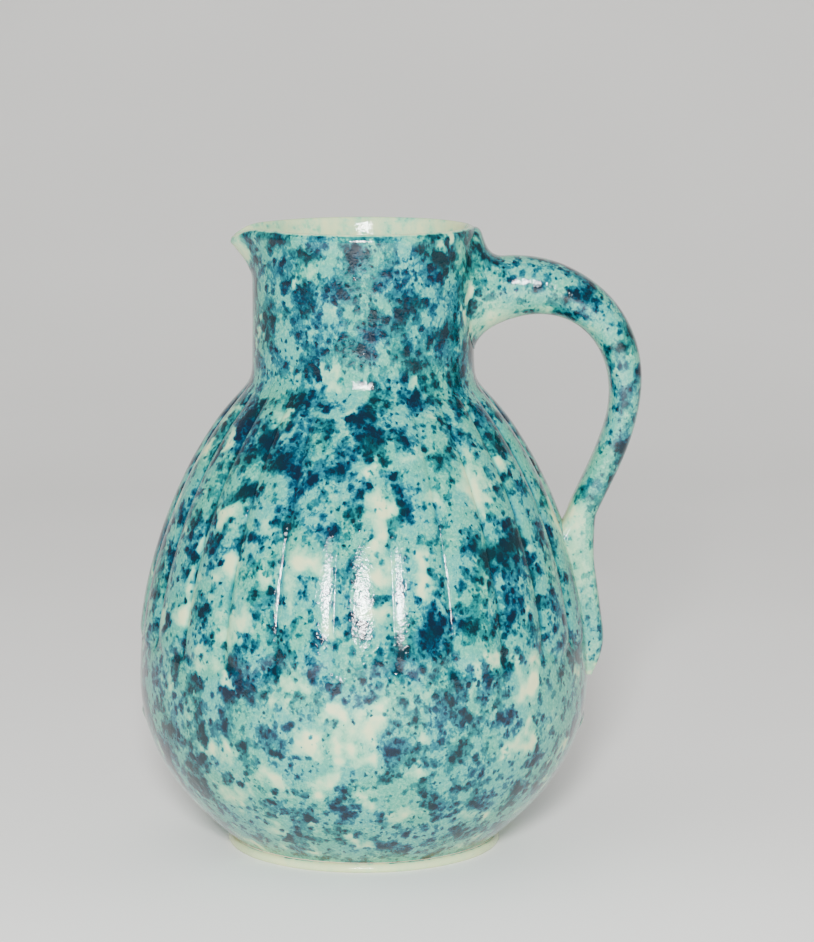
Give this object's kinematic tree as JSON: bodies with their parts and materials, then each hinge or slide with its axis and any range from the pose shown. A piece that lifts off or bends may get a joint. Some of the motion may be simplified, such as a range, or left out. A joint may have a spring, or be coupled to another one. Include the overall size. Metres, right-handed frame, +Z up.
{
  "type": "ceramic pitcher",
  "caption": "Pear-bodied glazed stoneware pitcher with moulded upright ribs, a near-straight neck, a small pinched spout, an ear-shaped handle with a pointed tail and a thin flared foot.",
  "frame": {"origin": "on the body's axis, at the plane the foot rests on", "axes": "+Z up along the body's axis, +X towards the handle, -X towards the spout"},
  "size_m": [0.1783, 0.1596, 0.22],
  "materials": {
    "sponge_glaze": "gloss",
    "handle_glaze": "gloss",
    "rim_glaze": "gloss",
    "foot_clay": "satin",
    "base_clay": "matte"
  },
  "bodies": {
    "root": {"foot_ring": "foot_clay", "base_floor": "base_clay", "lower_bowl": "sponge_glaze", "ribbed_belly": "sponge_glaze", "neck_wall": "sponge_glaze", "rim_lip": "rim_glaze", "pouring_spout": "sponge_glaze", "handle_root": "handle_glaze", "handle_strap": "handle_glaze", "handle_tail": "handle_glaze"}
  },
  "joints": []
}
